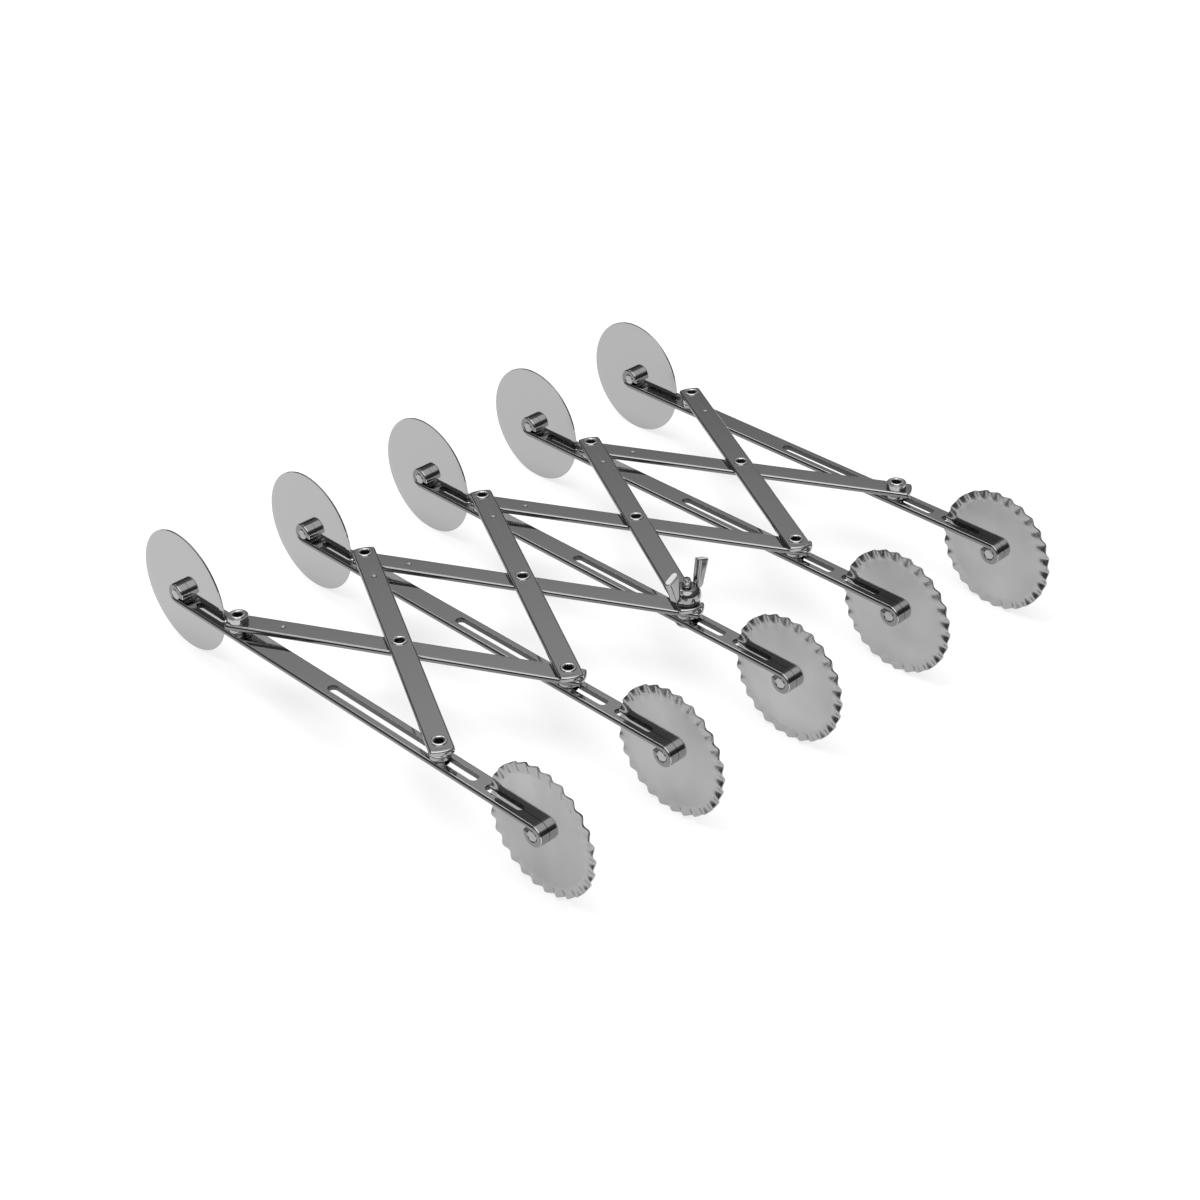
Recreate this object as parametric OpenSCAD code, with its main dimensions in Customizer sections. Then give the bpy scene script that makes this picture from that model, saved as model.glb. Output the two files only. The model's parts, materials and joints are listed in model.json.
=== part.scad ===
// Expandable dough cutter. Five slotted strip arms ride on a scissor linkage of crossed strips.
// Each arm is rolled round an axle pin at both ends: one end carries a plain cutting wheel, the
// other a fluted one. The links turn on hollow rivets and slide in the arms' long slots, so all
// the wheels move apart together, and a wing nut on the middle arm clamps the spacing.
// X runs across the arms, Y along them towards the plain wheels, Z up from the wheels' lowest points.

/* [Spacing] */
// Distance between neighbouring wheels as drawn
arm_spacing = 67; // [20:1:120]
// Distance between neighbouring wheels when closed
spacing_min = 12.7; // [11.5:0.1:16]
// Distance between neighbouring wheels when fully open
spacing_max = 127; // [122:1:132]

/* [Wheels] */
// Diameter of every wheel
wheel_d = 55; // [40:1:70]
// Thickness of a plain wheel
plain_t = 1; // [0.8:0.1:1.4]
// Thickness left at the rim of a plain wheel
plain_edge_t = 0.4; // [0.2:0.1:0.6]
// Width of the bevel ground on both sides of a plain wheel
plain_bevel_w = 2.5; // [1:0.5:6]
// Thickness of the sheet of a fluted wheel
fluted_t = 0.9; // [0.6:0.1:1.2]
// Number of flutes round a fluted wheel
flute_count = 27; // [18:1:36]
// Height of a flute to each side of the sheet
flute_rise = 0.7; // [0.5:0.1:1.3]
// Length of a flute from the rim inwards
flute_len = 5; // [3:0.5:7]
// Diameter of an axle pin
axle_d = 4.7; // [4:0.1:6]
// Chamfer on the ends of an axle pin
axle_chamfer = 0.5; // [0.1:0.1:0.6]

/* [Arms] */
// Width of an arm's strip
arm_w = 10; // [9:0.5:11]
// Thickness of an arm's strip
arm_t = 2.5; // [1.5:0.1:3]
// Angle that the rolled ends wrap round their pins
curl_angle = 278; // [230:2:290]
// Length of the solid knuckle from an axle to its wheel slot
knuckle_len = 9; // [8:0.5:12]
// Room in a wheel slot past the wheel's rim
wheel_slot_room = 1.8; // [1:0.1:5]
// Room in the long slot past the pin at either end of its travel
slot_room = 2.8; // [0.5:0.1:4]
// Solid strip left between the long slot and the fluted wheel's slot
slot_land = 5.2; // [2:0.1:7]
// Distance from the plain wheel's slot to the pivot rivet
pivot_land = 8.1; // [5:0.1:10]

/* [Links] */
// Distance between the two end pivots of a link
link_len = 142; // [136:1:160]
// Width of a link's strip
link_w = 10; // [9:0.5:11]
// Thickness of a link's strip
link_t = 2.5; // [1.5:0.1:3]
// Radius of the shallow round on a link's ends
link_end_r = 12; // [8:0.5:20]
// Length of a link past its pivot rivet
pivot_overhang = 5; // [4:0.1:6]
// Length of a link past its sliding pin
slide_overhang = 7; // [4:0.1:7.5]
// Distance of the punched dimple from the pivot rivet
dimple_place = 20; // [10:1:40]
// Diameter of the punched dimple
dimple_d = 2.4; // [1:0.1:4]
// Depth of the punched dimple
dimple_depth = 0.35; // [0.1:0.05:0.6]
// Rounding of the long edges of every strip
strip_edge_r = 0.7; // [0.3:0.05:0.7]

/* [Rivets and spacers] */
// Diameter of the hollow rivets and of the clamp bolt
pivot_d = 4; // [3.8:0.1:5]
// Wall of a hollow rivet
rivet_wall = 0.4; // [0.3:0.05:0.6]
// Diameter of the rolled rim on top of a rivet
rim_d = 6.6; // [6.2:0.1:8]
// Height of the rolled rim
rim_h = 0.5; // [0.4:0.05:0.8]
// Diameter of the head under a rivet
head_d = 7.4; // [6.8:0.1:9]
// Height of the head under a rivet
head_h = 0.6; // [0.4:0.05:1]
// Diameter of the spacers and bushes
spacer_d = 8.8; // [7:0.1:9.5]
// Thickness of the spacers between the arms and the links
spacer_t = 1.75; // [1.5:0.05:3]
// Rounding of the edges of rims, heads and bushes
soft_edge_r = 0.25; // [0.1:0.05:0.35]

/* [Clamp] */
// Diameter of the clamp bolt's head
bolt_head_d = 10; // [8:0.1:11]
// Height of the clamp bolt's head
bolt_head_h = 1.6; // [1:0.1:3]
// Height of the bolt's end above the links
bolt_rise = 10.8; // [9:0.1:16]
// Diameter of the narrow point at the bolt's end
bolt_point_d = 3.3; // [2.5:0.1:3.6]
// Height of the narrow point
bolt_point_h = 1.2; // [0.8:0.1:2]
// Rounding of the narrow point
bolt_point_r = 0.7; // [0.3:0.1:0.8]
// Diameter of the clamp washer
washer_d = 11; // [8:0.1:12]
// Thickness of the clamp washer
washer_t = 1; // [0.5:0.1:1.6]
// Diameter of the wing nut's body at its belly
nut_d = 12; // [11:0.1:13]
// Diameter of the wing nut's body on the washer
nut_base_d = 10.5; // [9:0.1:11]
// Height of the belly above the washer
nut_belly_h = 2.2; // [1:0.1:2.8]
// Height of the wing nut's body
nut_h = 6; // [5.8:0.1:8]
// Round shoulder of the wing nut's body
nut_shoulder_r = 2.8; // [1:0.1:3]
// Distance between the tips of the wings
wing_span = 26.5; // [25:0.5:32]
// Height of the wings above the washer
wing_h = 15.8; // [14:0.2:20]
// Lean of the wings away from upright
wing_lean = 18.5; // [5:0.5:30]
// Width of a wing at its tip
wing_tip_w = 6; // [5:0.1:7]
// Rounding of the corners of a wing's tip
wing_corner_r = 1.2; // [0.6:0.1:2]
// Width of a wing at its root
wing_root_w = 4.2; // [2.2:0.1:4.4]
// Height of a wing's root above the washer
wing_root_h = 2.6; // [2:0.1:3.5]
// Thickness of a wing
wing_t = 2.8; // [1.5:0.1:3]
// Turn of the wings away from square to the arms
wing_turn = 6.2; // [0:0.1:90]

/* [Fits] */
// Radial clearance of rivets and pins in their holes
hole_play = 0.05; // [0.03:0.01:0.1]
// Clearance of the pins at each side of the long slots
slot_play = 0.1; // [0.05:0.01:0.2]
// Gap between layers that turn on each other
layer_play = 0.05; // [0.03:0.01:0.1]
// Gap at each side of a wheel in its knuckle
knuckle_play = 0.4; // [0.2:0.05:0.6]

/* [Hidden] */
$fn = 64;

// Numbers of the arms, of the crossings between them and of the arm that is clamped
ARMS = [1:5];
CROSSINGS = [1:4];
FIRST_ARM = 1;
MIDDLE_ARM = 3;
LAST_ARM = 5;
RIVETED_SLIDES = [1, 2, 4, 5];

// One overrun serves all cuts
overrun = 1;

// Clear diameters, worked out from what passes through
hole_d = pivot_d + 2 * hole_play;
slot_w = pivot_d + 2 * slot_play;
rivet_bore_d = pivot_d - 2 * rivet_wall;
axle_hole_d = axle_d + 2 * hole_play;
slit_w = max(plain_t, fluted_t) + 2 * knuckle_play;

// An axle lies beside its strip by the radius at which the strip's middle is rolled
wheel_r = wheel_d / 2;
curl_r = axle_hole_d / 2 + arm_t / 2;

// Distances along an arm, from the pivot rivet to the sliding pin
slide_rest = sqrt(link_len^2 - arm_spacing^2);
slide_near = sqrt(link_len^2 - spacing_max^2);
slide_far = sqrt(link_len^2 - spacing_min^2);
cross_angle = asin(arm_spacing / link_len);

// An arm is as long as its wheels, its pivot and the travel of its pin need
pin_room = slot_w / 2 + slot_room;
wheel_slot_end = wheel_r + wheel_slot_room;
pivot_inset = wheel_slot_end + pivot_land;
arm_half = (pivot_inset + slide_far + pin_room + slot_land + wheel_slot_end) / 2;
pivot_y = arm_half - pivot_inset;
slide_y = pivot_y - slide_rest;
centre_y = (pivot_y + slide_y) / 2;
slot_near_y = pivot_y - slide_near + pin_room;
slot_far_y = pivot_y - slide_far - pin_room;

// The strip lies under the axle at the plain end and over it at the other, so it slopes a little
tilt = atan(curl_r / arm_half);

// Heights of the layers above the middle of an arm's strip
spacer_z = arm_t / 2 + layer_play;
lower_z = spacer_z + spacer_t + layer_play;
upper_z = lower_z + link_t + layer_play;
top_z = upper_z + link_t + layer_play;

// Steps of one flute round the wheel and shares of its length and rise from root to rim
flute_steps = 6;
flute_len_shares = [0, 0.5, 1];
flute_rise_shares = [0, 0.6, 1];

// Finishes of the stainless steel
STRIP_GREY = "#8b8d90";
WHEEL_GREY = "#b2b4b6";
RIVET_GREY = "#c9cbcd";

// Frame of the sloping arms, with the axles level at the wheels' radius
module sloped() {
    translate([0, 0, wheel_r]) rotate([-tilt, 0, 0]) children();
}

// Place on the middle of an arm's strip
module on_arm(i, y, z) {
    sloped() translate([(i - MIDDLE_ARM) * arm_spacing, y, z]) children();
}

// Place halfway between two arms, where their links cross
module on_crossing(i, z) {
    sloped() translate([(i + 1 / 2 - MIDDLE_ARM) * arm_spacing, centre_y, z]) children();
}

// Section of a strip with rounded edges
module strip_section(w, t) {
    square([w - 2 * strip_edge_r, t], center = true);
    square([w, t - 2 * strip_edge_r], center = true);
    for (x = [-1, 1], y = [-1, 1])
        translate([x * (w / 2 - strip_edge_r), y * (t / 2 - strip_edge_r)]) circle(r = strip_edge_r);
}

// Straight strip along Y, centred on its thickness
module strip(y0, y1, w, t) {
    translate([0, (y0 + y1) / 2, 0])
        rotate([90, 0, 0])
            linear_extrude(y1 - y0, center = true)
                strip_section(w, t);
}

// Slot with round ends through an arm, between two places along it
module arm_slot(y0, y1) {
    cut_h = arm_t + 2 * overrun;
    for (y = [y0 + slot_w / 2, y1 - slot_w / 2])
        translate([0, y, 0]) cylinder(d = slot_w, h = cut_h, center = true);
    translate([-slot_w / 2, y0 + slot_w / 2, -cut_h / 2]) cube([slot_w, y1 - y0 - slot_w, cut_h]);
}

// Rolled end of an arm: the strip's own section turned about the axle
module arm_curl() {
    translate([0, arm_half, curl_r])
        rotate([0, 90, 0])
            rotate_extrude(angle = curl_angle)
                translate([curl_r, 0])
                    rotate(90)
                        strip_section(arm_w, arm_t);
}

// Slot for a wheel, with the narrow slit that parts the rolled end into two knuckles
module wheel_cut() {
    arm_slot(arm_half - wheel_slot_end, arm_half - knuckle_len);
    slit_y = arm_half - knuckle_len - slot_w / 2;
    slit_l = knuckle_len + slot_w / 2 + curl_r + arm_t / 2 + overrun;
    slit_h = 2 * curl_r + arm_t + 2 * overrun;
    translate([-slit_w / 2, slit_y, -arm_t / 2 - overrun]) cube([slit_w, slit_l, slit_h]);
}

module arm(i) {
    color(STRIP_GREY) on_arm(i, 0, 0) difference() {
        union() {
            strip(-arm_half, arm_half, arm_w, arm_t);
            arm_curl();
            rotate([180, 0, 0]) arm_curl();
        }
        translate([0, pivot_y, 0]) cylinder(d = hole_d, h = arm_t + 2 * overrun, center = true);
        arm_slot(slot_far_y, slot_near_y);
        wheel_cut();
        rotate([180, 0, 0]) wheel_cut();
    }
}

// Place on the axle at the plain end (side 1) or the fluted end (side -1) of an arm, turned to face X
module on_axle(i, side) {
    on_arm(i, side * arm_half, side * curl_r) rotate([0, 90, 0]) children();
}

module axle_pin() {
    end_r = axle_d / 2 - axle_chamfer;
    flat_half = arm_w / 2 - axle_chamfer;
    rotate_extrude() polygon([
        [0, -arm_w / 2], [end_r, -arm_w / 2], [axle_d / 2, -flat_half],
        [axle_d / 2, flat_half], [end_r, arm_w / 2], [0, arm_w / 2]
    ]);
}

module axle_pins(i) {
    color(RIVET_GREY) for (side = [-1, 1]) on_axle(i, side) axle_pin();
}

module plain_wheel(i) {
    hole_r = axle_hole_d / 2;
    color(WHEEL_GREY) on_axle(i, 1) rotate_extrude($fn = 128) polygon([
        [hole_r, -plain_t / 2], [wheel_r - plain_bevel_w, -plain_t / 2], [wheel_r, -plain_edge_t / 2],
        [wheel_r, plain_edge_t / 2], [wheel_r - plain_bevel_w, plain_t / 2], [hole_r, plain_t / 2]
    ]);
}

// Corrugated disc: the sheet's two faces swing together from side to side towards the rim
module fluted_disc() {
    steps = flute_count * flute_steps;
    rings = len(flute_len_shares);
    function ring_r(k) = wheel_r - flute_len * (1 - flute_len_shares[k]);
    function swing(k, j) = flute_rise * flute_rise_shares[k] * sin(360 * j / flute_steps);
    function at(side, k, j) = (side * rings + k) * steps + j % steps;
    points = [
        for (side = [0, 1], k = [0 : rings - 1], j = [0 : steps - 1])
            let (a = 360 * j / steps)
                [ring_r(k) * cos(a), ring_r(k) * sin(a), swing(k, j) + fluted_t * (side - 1 / 2)]
    ];
    lower = [for (k = [0 : rings - 2], j = [0 : steps - 1], half = [0, 1])
        half == 0 ? [at(0, k, j), at(0, k + 1, j), at(0, k + 1, j + 1)]
                  : [at(0, k, j), at(0, k + 1, j + 1), at(0, k, j + 1)]];
    upper = [for (k = [0 : rings - 2], j = [0 : steps - 1], half = [0, 1])
        half == 0 ? [at(1, k, j), at(1, k + 1, j + 1), at(1, k + 1, j)]
                  : [at(1, k, j), at(1, k, j + 1), at(1, k + 1, j + 1)]];
    rim = [for (j = [0 : steps - 1], half = [0, 1])
        half == 0 ? [at(0, rings - 1, j), at(1, rings - 1, j), at(1, rings - 1, j + 1)]
                  : [at(0, rings - 1, j), at(1, rings - 1, j + 1), at(0, rings - 1, j + 1)]];
    centre = [
        [for (j = [0 : steps - 1]) at(0, 0, j)],
        [for (j = [steps - 1 : -1 : 0]) at(1, 0, j)]
    ];
    polyhedron(points, concat(lower, upper, rim, centre));
}

module fluted_wheel(i) {
    color(WHEEL_GREY) on_axle(i, -1) difference() {
        fluted_disc();
        cylinder(d = axle_hole_d, h = fluted_t + 2 * overrun, center = true);
    }
}

// Link with its pivot at the origin, its sliding end towards -Y and its lower face at zero
module link() {
    y_pivot_end = pivot_overhang;
    y_slide_end = -link_len - slide_overhang;
    round_pivot_y = y_pivot_end - link_end_r;
    round_slide_y = y_slide_end + link_end_r;
    dimple_r = (dimple_d^2 / 4 + dimple_depth^2) / (2 * dimple_depth);
    difference() {
        intersection() {
            translate([0, 0, link_t / 2]) strip(y_slide_end, y_pivot_end, link_w, link_t);
            union() {
                for (y = [round_pivot_y, round_slide_y])
                    translate([0, y, -overrun]) cylinder(r = link_end_r, h = link_t + 2 * overrun);
                translate([-link_end_r, round_slide_y, -overrun])
                    cube([2 * link_end_r, round_pivot_y - round_slide_y, link_t + 2 * overrun]);
            }
        }
        for (y = [0, -link_len / 2, -link_len])
            translate([0, y, -overrun]) cylinder(d = hole_d, h = link_t + 2 * overrun);
        translate([0, -dimple_place, link_t + dimple_r - dimple_depth]) sphere(r = dimple_r);
    }
}

// From the pivot of arm i to the sliding pin of the next arm
module lower_link(i) {
    color(STRIP_GREY) on_arm(i, pivot_y, lower_z) rotate([0, 0, cross_angle]) link();
}

// From the pivot of the arm after i back to the sliding pin of arm i
module upper_link(i) {
    color(STRIP_GREY) on_arm(i + 1, pivot_y, upper_z) rotate([0, 0, -cross_angle]) link();
}

// Half section of a ring with both upper edges rounded
module ring_section(r0, r1, h, edge_r) {
    translate([r0, 0]) square([r1 - r0, h - edge_r]);
    translate([r0 + edge_r, 0]) square([r1 - r0 - 2 * edge_r, h]);
    for (r = [r0 + edge_r, r1 - edge_r]) translate([r, h - edge_r]) circle(r = edge_r);
}

// Hollow rivet from under the lowest layer at z0 to above the top layer
module hollow_rivet(z0) {
    bore_r = rivet_bore_d / 2;
    head_z = z0 - layer_play;
    rotate_extrude() {
        translate([0, head_z]) mirror([0, 1]) ring_section(bore_r, head_d / 2, head_h, soft_edge_r);
        translate([bore_r, head_z]) square([rivet_wall, top_z - head_z]);
        translate([0, top_z]) ring_section(bore_r, rim_d / 2, rim_h, soft_edge_r);
    }
}

module pivot_rivet(i) {
    color(RIVET_GREY) on_arm(i, pivot_y, 0) hollow_rivet(-arm_t / 2);
}

module slide_rivet(i) {
    color(RIVET_GREY) on_arm(i, slide_y, 0) hollow_rivet(-arm_t / 2);
}

module centre_rivet(i) {
    color(RIVET_GREY) on_crossing(i, 0) hollow_rivet(lower_z);
}

// Round spacer with a rivet hole
module spacer(h) {
    rotate_extrude() ring_section(hole_d / 2, spacer_d / 2, h, soft_edge_r);
}

module pivot_spacer(i) {
    color(RIVET_GREY) on_arm(i, pivot_y, spacer_z) spacer(spacer_t);
}

module slide_spacer(i) {
    color(RIVET_GREY) on_arm(i, slide_y, spacer_z) spacer(spacer_t);
}

// Bushes that fill the layer where the first and the last arm have only one link
module link_bush(i, y, z) {
    color(RIVET_GREY) on_arm(i, y, z) spacer(link_t);
}

// Bolt with a low round head under the arm and a narrow round point
module clamp_bolt() {
    head_z = -arm_t / 2 - layer_play;
    end_z = top_z + bolt_rise;
    shank_r = pivot_d / 2;
    point_r = bolt_point_d / 2;
    color(RIVET_GREY) on_arm(MIDDLE_ARM, slide_y, 0) rotate_extrude() {
        translate([0, head_z - bolt_head_h]) square([bolt_head_d / 2 - bolt_head_h, bolt_head_h]);
        intersection() {
            translate([bolt_head_d / 2 - bolt_head_h, head_z]) circle(r = bolt_head_h);
            translate([0, head_z - bolt_head_h]) square([bolt_head_d / 2, bolt_head_h]);
        }
        translate([0, head_z]) square([shank_r, end_z - bolt_point_h - head_z]);
        translate([0, head_z]) square([point_r, end_z - bolt_point_r - head_z]);
        translate([0, head_z]) square([point_r - bolt_point_r, end_z - head_z]);
        translate([point_r - bolt_point_r, end_z - bolt_point_r]) circle(r = bolt_point_r);
    }
}

module clamp_washer() {
    color(RIVET_GREY) on_arm(MIDDLE_ARM, slide_y, top_z)
        rotate_extrude() ring_section(hole_d / 2, washer_d / 2, washer_t, soft_edge_r);
}

// Outline drawn tight round circles that are listed counterclockwise as [centre, radius]
module taut_outline(circles) {
    function next(k) = circles[(k + 1) % len(circles)];
    function facing(p, q) =
        let (way = q[0] - p[0])
            atan2(way[1], way[0]) - acos((p[1] - q[1]) / norm(way));
    function touch(p, a) = p[0] + p[1] * [cos(a), sin(a)];
    polygon([
        for (k = [0 : len(circles) - 1])
            let (p = circles[k], q = next(k), a = facing(p, q))
                each [touch(p, a), touch(q, a)]
    ]);
    for (p = circles) translate(p[0]) circle(r = p[1]);
}

// Outline of one wing: a leaning plate with a square tip, on a foot that grows out of the body
module wing_outline() {
    root_r = wing_root_w / 2;
    tip_run = wing_tip_w - 2 * wing_corner_r;
    inner_z = wing_h - wing_corner_r;
    outer_x = wing_span / 2 - wing_corner_r;
    root = [[nut_d / 2 + root_r, wing_root_h], root_r];
    buried = [[nut_d / 2 - root_r, wing_root_h], root_r];
    outer = [[outer_x, inner_z - tip_run * sin(wing_lean)], wing_corner_r];
    inner = [[outer_x - tip_run * cos(wing_lean), inner_z], wing_corner_r];
    taut_outline([root, outer, inner]);
    taut_outline([buried, root]);
}

// Half section of the nut's body: flared to its belly, then drawn in over a round shoulder
module nut_section() {
    shoulder_z = nut_h - nut_shoulder_r;
    top_r = nut_d / 2 - nut_shoulder_r;
    polygon([
        [0, 0], [nut_base_d / 2, 0], [nut_d / 2, nut_belly_h], [nut_d / 2, shoulder_z], [0, shoulder_z]
    ]);
    square([top_r, nut_h]);
    translate([top_r, shoulder_z]) intersection() {
        circle(r = nut_shoulder_r);
        square(nut_shoulder_r);
    }
}

module wing_nut() {
    nut_z = top_z + washer_t + layer_play;
    color(RIVET_GREY) on_arm(MIDDLE_ARM, slide_y, nut_z) difference() {
        union() {
            rotate_extrude() nut_section();
            for (turn = [0, 180])
                rotate([0, 0, wing_turn + turn])
                    translate([0, wing_t / 2, 0])
                        rotate([90, 0, 0])
                            linear_extrude(wing_t)
                                wing_outline();
        }
        translate([0, 0, -overrun]) cylinder(d = hole_d, h = nut_h + 2 * overrun);
    }
}

for (i = ARMS) {
    arm(i);
    plain_wheel(i);
    fluted_wheel(i);
    axle_pins(i);
    pivot_rivet(i);
    pivot_spacer(i);
    slide_spacer(i);
}
for (i = CROSSINGS) {
    lower_link(i);
    upper_link(i);
    centre_rivet(i);
}
for (i = RIVETED_SLIDES)
    slide_rivet(i);
link_bush(FIRST_ARM, pivot_y, upper_z);  // first_pivot_bush
link_bush(LAST_ARM, pivot_y, lower_z);  // last_pivot_bush
link_bush(FIRST_ARM, slide_y, lower_z);  // first_slide_bush
link_bush(LAST_ARM, slide_y, upper_z);  // last_slide_bush
clamp_bolt();
clamp_washer();
wing_nut();
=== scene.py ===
"""Expandable dough cutter: five slotted arms on a scissor linkage, with plain and fluted wheels.

Each kind of piece is modelled once in its own frame, given its steel and copied to its places."""

import json
import math

import bmesh
import bpy
from bpy.props import FloatProperty, FloatVectorProperty, IntProperty, PointerProperty
from mathutils import Matrix, Vector


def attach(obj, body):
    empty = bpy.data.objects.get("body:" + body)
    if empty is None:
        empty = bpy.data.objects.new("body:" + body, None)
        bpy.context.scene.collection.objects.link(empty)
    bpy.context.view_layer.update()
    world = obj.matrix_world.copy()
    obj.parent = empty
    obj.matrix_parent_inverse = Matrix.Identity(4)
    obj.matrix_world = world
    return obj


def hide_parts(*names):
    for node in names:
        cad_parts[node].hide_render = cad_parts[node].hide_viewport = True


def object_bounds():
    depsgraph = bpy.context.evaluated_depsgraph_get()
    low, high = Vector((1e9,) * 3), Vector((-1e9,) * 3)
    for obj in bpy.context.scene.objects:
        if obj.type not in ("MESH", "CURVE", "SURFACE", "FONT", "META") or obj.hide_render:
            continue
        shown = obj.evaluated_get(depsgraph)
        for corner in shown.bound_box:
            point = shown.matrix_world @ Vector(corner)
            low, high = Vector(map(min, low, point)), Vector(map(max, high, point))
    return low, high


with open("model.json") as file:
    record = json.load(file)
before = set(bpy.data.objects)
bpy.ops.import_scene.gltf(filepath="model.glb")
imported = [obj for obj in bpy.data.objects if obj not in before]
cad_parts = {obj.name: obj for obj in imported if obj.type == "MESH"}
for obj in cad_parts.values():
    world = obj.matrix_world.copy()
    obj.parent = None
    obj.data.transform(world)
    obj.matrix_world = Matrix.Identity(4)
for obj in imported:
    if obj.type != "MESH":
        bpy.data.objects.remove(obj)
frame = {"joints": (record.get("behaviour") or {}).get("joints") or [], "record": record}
CAD_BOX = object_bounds()

bl_info = {
    "name": "Expandable Dough Cutter",
    "version": (1, 0, 0),
    "blender": (4, 5, 0),
    "location": "View3D > Sidebar > Dough Cutter",
    "description": "Models an expandable dough cutter, its steels and its studio",
    "category": "Object",
}

MM = 0.001
ARMS = range(1, 6)
CROSSINGS = range(1, 5)
FIRST_ARM, MIDDLE_ARM, LAST_ARM = 1, 3, 5
RIVETED_SLIDES = (1, 2, 4, 5)

# Steps of round forms
ROUND_STEPS = 66
END_STEPS = 130
WHEEL_STEPS = 192
CURL_STEPS = 44
EDGE_STEPS = 6
CUT_STEPS = 2
BEAD_STEPS = 14
CORNER_STEPS = 4
BALL_STEPS = 96
# Angle up to which faces are shaded as one, and past which an edge is sharp
SMOOTH_ANGLE = math.radians(36)
SHARP_ANGLE = math.radians(50)
# Reach of a merge, and how far a tool goes past what it cuts through
MERGE = 1e-3 * MM
OVERRUN = 1 * MM
# Shares of a face's normal: along Z, below which the face stands upright, and along an axis that it faces
UPRIGHT = 0.5
FACING = 0.7
# Span that a noise pattern fills
NOISE_LOW = 0.3
NOISE_HIGH = 0.7

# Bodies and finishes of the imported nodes, and the joints by name
JOINTS = {joint["name"]: joint for joint in frame["joints"]}
BODY_OF = {node: body for body, nodes in frame["record"]["behaviour"]["bodies"].items() for node in nodes}
SLOT_OF = {part["node"]: part["material_slot"] for part in frame["record"]["subparts"]}


def spot(joint):
    """Place of a joint in the frame."""
    return Vector(JOINTS[joint]["pos_m"])


# The links' axles stand square to the strips, which slope a little along the arms
UP = Vector(JOINTS["spread"]["axis"])
ALONG = Vector((0, UP.z, -UP.y))


def arm_place(arm):
    """Frame of an arm: Y along it towards its plain wheel, Z square to it, zero in the strip's middle."""
    middle = (spot(f"plain_wheel_{arm}_spin") + spot(f"fluted_wheel_{arm}_spin")) / 2
    return Matrix.Translation(middle) @ Matrix((Vector((1, 0, 0)), ALONG, UP)).transposed().to_4x4()


# Places on an arm, in its own frame
TO_ARM = arm_place(MIDDLE_ARM).inverted()
AXLE = TO_ARM @ spot(f"plain_wheel_{MIDDLE_ARM}_spin")
PIVOT = TO_ARM @ spot("spread")
SLIDE = TO_ARM @ spot("wing_nut_turn")
CROSSING = TO_ARM @ spot(f"upper_link_{MIDDLE_ARM}_cross")

# Lengths and turns of the linkage at rest and at the limits of its travel
ARM_PITCH = 2 * CROSSING.x
LINK_LEN = math.hypot(ARM_PITCH, PIVOT.y - SLIDE.y)
LINK_TURN = math.atan2(ARM_PITCH, PIVOT.y - SLIDE.y)
SLIDE_FAR_Y, SLIDE_NEAR_Y = (
    PIVOT.y - LINK_LEN * math.cos(LINK_TURN + math.radians(limit)) for limit in JOINTS["spread"]["range_deg"]
)
LOWER_Z = PIVOT.z
UPPER_Z = CROSSING.z

# Where the photograph was taken from, and in which direction
CAMERA_PLACE = Vector((-563.6, -577.4, 557.9)) * MM
CAMERA_AIM = Vector((0.57894, 0.59284, -0.55979))


def length(name, description, default):
    """Length that a user may change, with its default in millimetres."""
    return FloatProperty(name=name, description=description, default=default * MM, unit="LENGTH",
                         precision=5)


def angle(name, description, default):
    """Angle that a user may change, with its default in degrees."""
    return FloatProperty(name=name, description=description, default=math.radians(default),
                         unit="ROTATION")


def linear(colour):
    """Linear colour of an sRGB hex value."""
    channels = [int(colour[k:k + 2], 16) / 255 for k in (1, 3, 5)]
    return tuple(c / 12.92 if c <= 0.04045 else ((c + 0.055) / 1.055) ** 2.4 for c in channels)


def tint(name, description, default):
    """Colour that a user may change, with its default as an sRGB hex value."""
    return FloatVectorProperty(name=name, description=description, default=linear(default), subtype="COLOR",
                               size=3, min=0, max=1)


class CutterStrips(bpy.types.PropertyGroup):
    """Sizes of the arms and links"""

    arm_w: length("Arm Width", "Width of an arm's strip", 10)
    arm_t: length("Arm Thickness", "Thickness of an arm's strip", 2.5)
    curl_angle: angle("Curl", "Angle that a rolled end wraps round its pin", 278)
    knuckle_len: length("Knuckle", "Solid strip from an axle to its wheel slot", 9)
    wheel_slot_len: length("Wheel Slot", "Reach of a wheel slot from the axle", 29.3)
    slit_w: length("Slit", "Width of the slit that parts a rolled end into two knuckles", 1.06)
    slot_w: length("Slot Width", "Width of the slots", 4.2)
    slot_room: length("Slot Room", "Room in the long slot past the pin at the ends of its travel", 2.8)
    link_w: length("Link Width", "Width of a link's strip", 10)
    link_t: length("Link Thickness", "Thickness of a link's strip", 2.5)
    link_end_r: length("Link End", "Radius of the shallow round on a link's ends", 12)
    link_corner_r: length("Link Corner", "Rounding of the corners of a link's ends", 1.8)
    pivot_overhang: length("Pivot Overhang", "Length of a link past its pivot rivet", 5)
    slide_overhang: length("Slide Overhang", "Length of a link past its sliding pin", 7)
    dimple_place: length("Dimple Place", "Distance of the punched dimple from the pivot rivet", 20)
    dimple_d: length("Dimple", "Diameter of the punched dimple", 2.4)
    dimple_depth: length("Dimple Depth", "Depth of the punched dimple", 0.35)
    arm_edge_r: length("Arm Edge", "Rounding of the long edges of an arm's strip", 0.7)
    link_edge_r: length("Link Edge", "Rounding of the edges of a link", 0.9)
    cut_r: length("Cut Edge", "Softening of sheared and punched edges", 0.08)


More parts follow.
